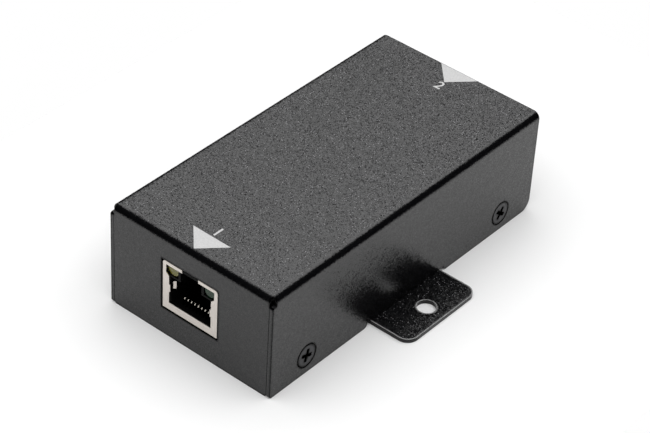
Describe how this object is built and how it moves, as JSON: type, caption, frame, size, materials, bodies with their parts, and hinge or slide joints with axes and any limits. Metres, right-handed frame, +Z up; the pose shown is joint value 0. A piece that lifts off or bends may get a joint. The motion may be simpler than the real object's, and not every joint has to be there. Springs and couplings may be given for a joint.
{
  "type": "poe extender",
  "caption": "Small black folded-steel PoE extender: a box with a network socket in each end and a flat mounting ear on each side, level with the bottom.",
  "frame": {"origin": "middle of the footprint of the whole part, on the bottom face of the base plate", "axes": "+Z up, out of the top cover; +Y along the length, from the output socket to the input socket; +X across, out of one mounting ear"},
  "size_m": [0.0702, 0.094, 0.028],
  "materials": {
    "black_powder_coat": "fine-textured matte powder coat",
    "black_screw_finish": "black zinc plated",
    "nickel_plate": "satin nickel plated",
    "black_nylon": "moulded, matte",
    "gold_plate": "gold plated",
    "yellow_resin": "tinted clear resin, unlit",
    "green_resin": "tinted clear resin, unlit",
    "green_board": "solder mask over glass-fibre board",
    "zinc_steel": "zinc plated",
    "black_epoxy": "moulded epoxy",
    "can_steel": "drawn can",
    "capacitor_can": "drawn aluminium",
    "tan_ceramic": "fired, with tinned ends",
    "black_ceramic": "glazed film, with tinned ends",
    "ferrite": "pressed ferrite, matte"
  },
  "bodies": {
    "root": {"top_cover": "black_powder_coat", "base_plate": "black_powder_coat", "cover_screws": "black_screw_finish", "board_standoffs": "zinc_steel", "board_screws": "zinc_steel", "circuit_board": "green_board", "out_jack_shell": "nickel_plate", "out_jack_housing": "black_nylon", "out_contact_block": "black_nylon", "out_contacts": "gold_plate", "out_yellow_led": "yellow_resin", "out_green_led": "green_resin", "out_magnetics": "black_epoxy", "in_jack_shell": "nickel_plate", "in_jack_housing": "black_nylon", "in_contact_block": "black_nylon", "in_contacts": "gold_plate", "in_yellow_led": "yellow_resin", "in_green_led": "green_resin", "in_magnetics": "black_epoxy", "switch_chip": "black_epoxy", "crystal": "can_steel", "power_input_chip": "black_epoxy", "power_output_chip": "black_epoxy", "power_inductor": "ferrite", "bulk_capacitors": "capacitor_can", "bridge_rectifiers": "black_epoxy", "surge_diodes": "black_epoxy", "power_transistors": "black_epoxy", "chip_capacitors": "tan_ceramic", "chip_resistors": "black_ceramic"}
  },
  "joints": []
}
